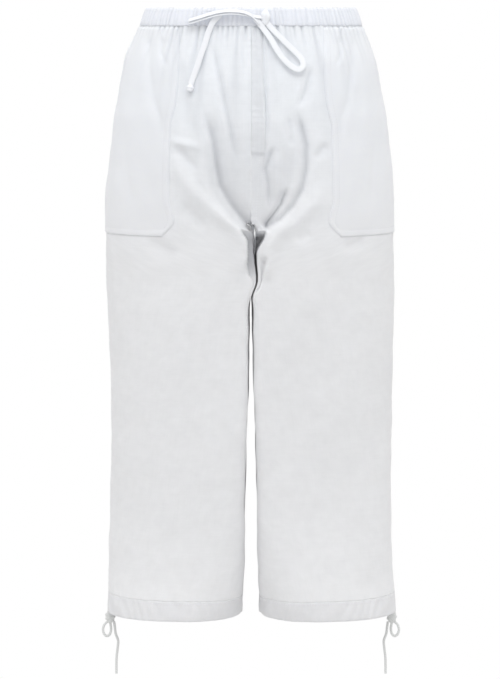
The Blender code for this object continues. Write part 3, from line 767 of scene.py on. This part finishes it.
def columnsAt(down, part):
    # closest together round the corner between the thighs
    half, run = section(down)[:2] if part == "front" else section(down)[2:]
    if part == "back":
        half, run = half[::-1], run[-1] - run[::-1]
    count = panel[part + "Columns"]
    wall = round(count * 0.24)
    face = half[-sectionCount:, 1].min() if part == "front" else half[-sectionCount:, 1].max()
    corner = run[np.argmax(np.abs(half[:, 1] - face) < 0.012)]
    corner = max(corner, 0.010)
    inner = np.linspace(0, corner, wall, endpoint=False)
    outer = corner + (run[-1] - corner) * np.linspace(0, 1, count - wall + 1) ** 1.35
    columns = np.concatenate([inner, outer]) / run[-1]
    return columns if part == "front" else 2 - columns[::-1]


def addPanel(name, side, part, node):
    downs = rowHeights(panel[part + "Rows"])
    turn = np.array([columnsAt(down, part) for down in downs])
    # both ends are tucked into the waistband and the hem casing
    tuck = -0.0004 * (1 - smooth(downs, 0.0246, 0.0256)) - 0.0009 * smooth(downs, 0.8326, 0.8338)
    points, normal, paintedShade = skin(side, downs, turn, tuck[:, None])
    bm = gridInto(points, clothUV(side, downs, turn), normal, paintedShade)
    made = addPiece(name, bm, finishes["cloth"], "cloth", node)
    thicken(made, body["cloth"])
    return made


for side, word in ((1, "left"), (-1, "right")):
    addPanel("panel.front." + word, side, "front", "front_" + word)
    addPanel("panel.back." + word, side, "back", "back_" + word)
print("panels made")


# waistband and hems

band = {"columns": 760}


def ring(down, angle, inset):
    wide, front, back = (readTable(body["outline"], k, down) - inset for k in (1, 2, 3))
    power = 2 / body["curve"]
    x = wide * np.sign(np.sin(angle)) * np.abs(np.sin(angle)) ** power
    depth = np.where(np.cos(angle) > 0, front, back)
    y = -depth * np.sign(np.cos(angle)) * np.abs(np.cos(angle)) ** power
    return np.stack([x, y], axis=-1)


def addWaistband():
    columns = band["columns"]
    angle = np.linspace(0, 2 * math.pi, columns + 1)
    # profile from the bottom of the outer face, over the top edge, down the inner face and back
    outer = [(d, 0.0) for d in np.linspace(0.0249, 0.0022, 14)]
    over = [(0.0008, 0.0004), (0.0001, 0.0010), (0.0001, 0.0020), (0.0008, 0.0026)]
    inner = [(d, 0.0030) for d in np.linspace(0.0022, 0.0249, 10)]
    under = [(0.0251, 0.0020), (0.0251, 0.0010), (0.0249, 0.0)]
    profile = outer + over + inner + under
    fine = ring(0.012, angle, 0.0)
    run = runLength(fine)
    draw = np.random.default_rng(31)
    places = np.cumsum(draw.uniform(0.0045, 0.0085, 240))
    places = places[places < run[-1] - 0.002]
    heights = draw.uniform(0.0004, 0.0019, len(places))
    lean = draw.normal(0, 0.05, len(places))
    points = np.empty((len(profile), columns + 1, 3))
    paintedShade = np.zeros((len(profile), columns + 1))
    for i, (down, inset) in enumerate(profile):
        flat = ring(down, angle, inset)
        outward = np.stack([flat[:, 0] * (0.112 / 0.15), flat[:, 1] * (0.15 / 0.112)], axis=1)
        outward /= np.linalg.norm(outward, axis=1, keepdims=True)
        relief = np.zeros(columns + 1)
        for at, height, slant in zip(places, heights, lean):
            offset = run - at - slant * (down - 0.012)
            relief -= height * np.exp(-(offset / 0.0017) ** 2)
        # the gather grooves in the band are painted darker, as shade
        paintedShade[i] = -relief / 0.009
        belly = 0.0006 * math.sin(math.pi * min(down / 0.025, 1))
        relief = (relief + 0.0003 + belly) * (1 if inset < 0.0015 else -0.4)
        top = 0.0005 * np.sin(run * 900 + 2 * np.sin(run * 210)) * math.exp(-down / 0.002)
        points[i, :, :2] = flat + outward * relief[:, None]
        points[i, :, 2] = -down + top
    points[:, -1] = points[:, 0]
    height = runLength(points[:, 0])
    uv = np.stack(np.broadcast_arrays(run[None, :], -height[:, None]), axis=2)
    bm = gridInto(points, uv, None, paintedShade)
    closeTube(bm, False)
    made = addPiece("waistband.casing", bm, finishes["casing"], "casing", "waistband")


def addHem(side, word):
    turn = np.concatenate([columnsAt(0.85, "front"), columnsAt(0.85, "back")[1:]])
    outer = [(d, 0.0) for d in np.linspace(0.8338, 0.8612, 12)]
    under = [(0.8619, 0.0006), (0.8619, 0.0016)]
    inner = [(d, 0.0023) for d in np.linspace(0.8612, 0.8342, 8)]
    over = [(0.8336, 0.0018), (0.8335, 0.0003), (0.8338, 0.0)]
    profile = outer + under + inner + over
    rows = []
    for down, inset in profile:
        points, normal, _ = skin(side, [down], turn[None, :])
        run = turn * 0.3
        swell = 0.0005 * math.sin(math.pi * (down - 0.8338) / 0.0280)
        pucker = 0.0004 * np.sin(run * 330 + (down - 0.85) * 260 + 4 * np.sin(run * 61))
        pucker *= 1 + 0.6 * np.sin(run * 37)
        push = swell + pucker - inset if inset < 0.001 else np.full(len(turn), -inset)
        rows.append(points[0] + normal[0] * push[:, None])
    points = np.array(rows)
    points[:, -1] = points[:, 0]
    height = runLength(points[:, 0])
    run = runLength(points[0])
    uv = np.stack(np.broadcast_arrays(run[None, :] * side, -0.834 - height[:, None]), axis=2)
    # the whole hem casing is painted a little darker, as shade
    paintedShade = np.full(points.shape[:2], 0.24)
    bm = gridInto(points, uv, None, paintedShade)
    closeTube(bm, False)
    made = addPiece("hem.casing." + word, bm, finishes["cloth"], "casing", "hem_" + word)


addWaistband()
addHem(1, "left")
addHem(-1, "right")
print("waistband and hems made")


# pockets and placket

pocket = {
    "end": 0.3165, "thickness": 0.0009, "lift": 0.0014, "seams": (0.0016, 0.0095),
    "edge": ((0.000, 0.1000), (0.072, 0.0998), (0.124, 0.1025), (0.168, 0.1110), (0.264, 0.1125),
             (0.294, 0.1065), (0.3165, 0.1240)),
}
placket = {
    "thickness": 0.0009, "lift": 0.0013, "start": 0.0004, "end": 0.206, "seams": (0.0018, 0.0078),
    "edge": ((0.000, 0.0165), (0.090, 0.0168), (0.128, 0.0205), (0.160, 0.0205), (0.206, 0.0195)),
}


def turnAt(down, across):
    # where a line across the front reaches the given distance from the centre
    frontHalf, frontRun = section(down)[:2]
    onWayOut = frontHalf[:, 0] >= frontHalf[0, 0]
    return np.interp(across, frontHalf[onWayOut, 0], frontRun[onWayOut]) / frontRun[-1]


def addPocket(side, word):
    downs = np.linspace(0.0244, pocket["end"] - 0.003, 190)
    downs = np.concatenate([downs, [pocket["end"] - 0.0012, pocket["end"]]])
    columns = 84
    spread = np.linspace(0, 1, columns + 1)
    spread = np.concatenate([[0, 0.004, 0.010], spread[2:]])
    start = np.array([turnAt(d, readTable(pocket["edge"], 1, d)) for d in downs])
    girth = np.array([section(d)[1][-1] for d in downs])
    turn = start[:, None] + (1 - start[:, None]) * spread[None, :]
    fromEdge = (turn - start[:, None]) * girth[:, None]
    fromEnd = (pocket["end"] - downs)[:, None]
    near = np.minimum(fromEdge, fromEnd)
    rows = np.broadcast_to(downs[:, None], turn.shape)
    lift = pocket["lift"] - 0.0009 * np.exp(-(near / 0.0010) ** 2)
    lift = lift + 0.0004 * np.exp(-((near - 0.0045) / 0.0028) ** 2)
    for line in pocket["seams"]:
        lift = lift - 0.00035 * np.exp(-((near - line) / 0.0007) ** 2)
    zigzag = np.sin(rows * 1700 + near * 500 + 2 * np.sin(rows * 90))
    lift = lift + 0.00028 * zigzag * np.exp(-((near - 0.0055) / 0.0035) ** 2) * smooth(rows, 0.02, 0.12)
    mouth = np.exp(-(((1 - turn) * girth[:, None]) / 0.010) ** 2)
    mouth *= smooth(rows, 0.03, 0.05) * (1 - smooth(rows, 0.14, 0.17))
    lift = lift + 0.0012 * mouth
    top = smooth(rows, 0.0248, 0.0300)
    lift = lift * top - 0.0006 * (1 - top)
    points, normal, paintedShade = skin(side, downs, turn, lift)
    bm = gridInto(points, clothUV(side, downs, turn), normal, paintedShade)
    made = addPiece("pocket.patch." + word, bm, finishes["patch"], "patch", "pocket_" + word)
    thicken(made, pocket["thickness"])


def addPlacket():
    downs = np.linspace(0.0244, placket["end"], 170)
    start = np.array([turnAt(d, placket["start"]) for d in downs])
    stop = np.array([turnAt(d, readTable(placket["edge"], 1, d)) for d in downs])
    spread = np.linspace(0, 1, 19)
    turn = start[:, None] + (stop - start)[:, None] * spread[None, :]
    girth = np.array([section(d)[1][-1] for d in downs])[:, None]
    rows = np.broadcast_to(downs[:, None], turn.shape)
    fromEdge = (stop[:, None] - turn) * girth
    lift = placket["lift"] - 0.0008 * np.exp(-(fromEdge / 0.0009) ** 2)
    pucker = 0.00016 * np.sin(rows * 570 + 3 * np.sin(rows * 83))
    lift = lift + pucker * np.exp(-((fromEdge - 0.007) / 0.006) ** 2)
    lift = lift - 0.0003 * np.exp(-((fromEdge - 0.0016) / 0.0007) ** 2)
    lift = lift - 0.0006 * np.exp(-((turn - start[:, None]) * girth / 0.0012) ** 2)
    top = smooth(rows, 0.0248, 0.0300)
    foot = smooth(placket["end"] - rows, 0.0, 0.010)
    lift = lift * foot * top - 0.0006 * (1 - top) - 0.0006 * (1 - foot)
    points, normal, paintedShade = skin(1, downs, turn, lift)
    bm = gridInto(points, clothUV(1, downs, turn), normal, paintedShade)
    made = addPiece("fly.placket", bm, finishes["cloth"], "patch", "fly_placket")
    thicken(made, placket["thickness"])


addPocket(1, "left")
addPocket(-1, "right")
addPlacket()
print("pockets and placket made")


# stitches

stitch = {"length": 0.0026, "gap": 0.0012, "width": 0.00062, "height": 0.00042}


def stitchesInto(bm, layer, path, normal, length, gap):
    # one low oval bead for each stitch, turned along its line
    run = runLength(path)
    for at in np.arange(gap, run[-1] - length, length + gap):
        here = Vector([np.interp(at + length / 2, run, path[:, k]) for k in range(3)])
        ahead = Vector([np.interp(at + length, run, path[:, k]) for k in range(3)])
        back = Vector([np.interp(at, run, path[:, k]) for k in range(3)])
        up = Vector([np.interp(at + length / 2, run, normal[:, k]) for k in range(3)])
        along = (ahead - back).normalized()
        across = along.cross(up).normalized()
        up = across.cross(along)
        turned = Matrix((along * length / 2, across * stitch["width"] / 2, up * stitch["height"] / 2))
        place = Matrix.Translation(here) @ turned.transposed().to_4x4()
        made = bmesh.ops.create_icosphere(bm, subdivisions=1, radius=1.0, matrix=place)
        faces = {face for vert in made["verts"] for face in vert.link_faces}
        for face in faces:
            for loop in face.loops:
                loop[layer].uv = (loop.vert.co.x + loop.vert.co.y, loop.vert.co.z)


def lineOn(side, downs, turn, lift):
    points, normal, _ = skin(side, downs, np.asarray(turn)[:, None], np.asarray(lift)[:, None])
    return points[:, 0], normal[:, 0]


def addStitches(name, slot, lines, length=None, gap=None):
    bm = bmesh.new()
    layer = bm.loops.layers.uv.new("cloth")
    for path, normal in lines:
        stitchesInto(bm, layer, path, normal, length or stitch["length"], gap or stitch["gap"])
    addPiece(name, bm, finishes["thread"], slot)


def pocketLines(side):
    lines = []
    corner = readTable(pocket["edge"], 1, pocket["end"])
    for inset in pocket["seams"]:
        downs = np.linspace(0.029, pocket["end"] - inset, 220)
        start = np.array([turnAt(d, readTable(pocket["edge"], 1, d)) for d in downs])
        girth = np.array([section(d)[1][-1] for d in downs])
        lines.append(lineOn(side, downs, start + inset / girth, np.full(len(downs), pocket["lift"] + 0.0001)))
        down = pocket["end"] - inset
        begin = turnAt(down, corner) + inset / section(down)[1][-1]
        turn = np.linspace(begin, 0.996, 120)[None, :]
        points, normal, _ = skin(side, [down], turn, pocket["lift"] + 0.0001)
        lines.append((points[0], normal[0]))
    return lines


def placketLines():
    lines = []
    for inset in placket["seams"]:
        downs = np.linspace(0.030, 0.296, 220)
        stop = np.array([turnAt(d, readTable(placket["edge"], 1, d)) for d in downs])
        girth = np.array([section(d)[1][-1] for d in downs])
        lift = (placket["lift"] + 0.0001) * smooth(placket["end"] - downs, 0.0, 0.010) + 0.0001
        closer = 0.004 * smooth(downs, 0.200, 0.296)
        lines.append(lineOn(1, downs, stop - (inset + closer) / girth, lift))
    return lines


def ringLine(down, out):
    angle = np.linspace(0, 2 * math.pi, 721)
    flat = ring(down, angle, -out)
    normal = np.stack([flat[:, 0], flat[:, 1] * 1.6, 0 * angle], axis=1)
    normal /= np.linalg.norm(normal, axis=1, keepdims=True)
    return np.column_stack([flat, np.full(len(angle), -down)]), normal


def hemLine(side):
    turn = np.concatenate([columnsAt(0.85, "front"), columnsAt(0.85, "back")[1:]])[None, :]
    points, normal, _ = skin(side, [0.8368], turn, 0.0005)
    return points[0], normal[0]


def barTack(side):
    # a short dense bar across the top of the pocket mouth
    lines = []
    for down in np.arange(0.0290, 0.0366, 0.0007):
        turn = turnAt(down, 0.1250) + np.array([-0.5, 0, 0.5]) * 0.0018 / section(down)[1][-1]
        points, normal, _ = skin(side, [down], turn[None, :], 0.0017)
        lines.append((points[0], normal[0]))
    return lines


addStitches("stitches.pocket.left", "patch", pocketLines(1))
addStitches("stitches.pocket.right", "patch", pocketLines(-1))
addStitches("stitches.placket", "patch", placketLines())
addStitches("stitches.waistband", "casing", [ringLine(0.0218, 0.0006), ringLine(0.0042, 0.0006)])
addStitches("stitches.hem.left", "casing", [hemLine(1)])
addStitches("stitches.hem.right", "casing", [hemLine(-1)])
addStitches("bartacks", "patch", barTack(1) + barTack(-1), 0.0016, 0.0001)
print("stitches made")


# stage and light

stage = {"above": 0.96, "level": 0.90, "below": 0.72, "key": 41.0, "floor": -1.35}


def brightWhite(tree, shaderKind, outputKind, lit):
    # plain white to the camera, softer as light on the cloth
    path = tree.nodes.new("ShaderNodeLightPath")
    strength = tree.nodes.new("ShaderNodeMix")
    shader = tree.nodes.new(shaderKind)
    out = tree.nodes.new(outputKind)
    tree.links.new(path.outputs["Is Camera Ray"], strength.inputs[0])
    if isinstance(lit, float):
        strength.inputs[2].default_value = lit
    else:
        tree.links.new(lit, strength.inputs[2])
    strength.inputs[3].default_value = 1.0
    tree.links.new(strength.outputs[0], shader.inputs["Strength"])
    shader.inputs["Color"].default_value = (1, 1, 1, 1)
    tree.links.new(shader.outputs[0], out.inputs["Surface"])


def skyStrength(tree):
    # brightest overhead and weakest from below
    coords = tree.nodes.new("ShaderNodeTexCoord")
    parts = tree.nodes.new("ShaderNodeSeparateXYZ")
    ramp = tree.nodes.new("ShaderNodeValToRGB")
    tree.links.new(coords.outputs["Generated"], parts.inputs[0])
    scaled = tree.nodes.new("ShaderNodeMapRange")
    scaled.inputs["From Min"].default_value = -1
    tree.links.new(parts.outputs["Z"], scaled.inputs["Value"])
    tree.links.new(scaled.outputs[0], ramp.inputs[0])
    middle = ramp.color_ramp.elements.new(0.5)
    for stop, value in ((ramp.color_ramp.elements[0], stage["below"]), (middle, stage["level"]),
                        (ramp.color_ramp.elements[2], stage["above"])):
        stop.color = (value, value, value, 1)
    return ramp.outputs[0]


def addStage():
    world = bpy.data.worlds.new("studio")
    world.use_nodes = True
    world.node_tree.nodes.clear()
    sky = skyStrength(world.node_tree)
    brightWhite(world.node_tree, "ShaderNodeBackground", "ShaderNodeOutputWorld", sky)
    bpy.context.scene.world = world
    bm = bmesh.new()
    bmesh.ops.create_grid(bm, x_segments=1, y_segments=1, size=20)
    bmesh.ops.translate(bm, vec=(0, 0, stage["floor"]), verts=bm.verts)
    mesh = bpy.data.meshes.new("floor")
    bm.to_mesh(mesh)
    bm.free()
    paint = bpy.data.materials.new("pale floor")
    paint.use_nodes = True
    paint.node_tree.nodes.clear()
    brightWhite(paint.node_tree, "ShaderNodeEmission", "ShaderNodeOutputMaterial", stage["below"])
    mesh.materials.append(paint)
    floor = bpy.data.objects.new("floor", mesh)
    bpy.context.collection.objects.link(floor)


def addLight(name, place, target, size, energy, colour=(1, 1, 1)):
    data = bpy.data.lights.new(name, "AREA")
    data.shape = "RECTANGLE"
    data.size, data.size_y = size
    data.energy = energy
    data.color = colour
    made = bpy.data.objects.new(name, data)
    made.location = place
    made.rotation_euler = (Vector(target) - Vector(place)).to_track_quat("-Z", "Y").to_euler()
    bpy.context.collection.objects.link(made)


addStage()
addLight("key", (0.0, -2.2, 2.4), (0, 0, -0.3), (2.4, 1.2), stage["key"], (0.97, 0.98, 1.0))
bpy.context.scene.view_settings.view_transform = "Standard"
print("stage and light made")
